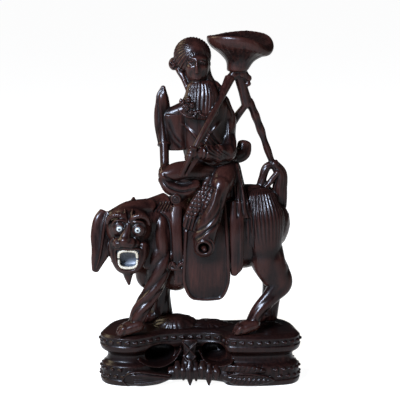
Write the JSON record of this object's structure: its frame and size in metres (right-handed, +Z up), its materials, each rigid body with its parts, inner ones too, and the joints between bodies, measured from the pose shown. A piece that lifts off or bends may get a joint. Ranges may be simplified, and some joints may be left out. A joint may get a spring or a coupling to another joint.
{
  "type": "carved wood figure of a rider on a guardian beast",
  "caption": "Carved dark hardwood figure: a robed elder riding a guardian beast and holding a lotus leaf overhead on its stem, on a carved stand; a shelf or altar ornament.",
  "frame": {"origin": "under the middle of the stand, on the flat surface that it rests on", "axes": "+Z up, -Y to the front, which both faces turn to, and -X towards the beast's head"},
  "size_m": [0.237, 0.1077, 0.4003],
  "materials": {
    "figure_wood": "dark hardwood, oiled and polished, worn bright on the high places",
    "stand_wood": "the same hardwood, darker, polished on its rims and dull in its hollows",
    "eye_glass": "opaque white glass with a black pupil",
    "bone": "polished bone, off-white"
  },
  "bodies": {
    "root": {"carved_figure": "figure_wood", "carved_stand": "stand_wood", "left_eye": "eye_glass", "right_eye": "eye_glass", "upper_teeth": "bone", "lower_teeth": "bone"}
  },
  "joints": []
}
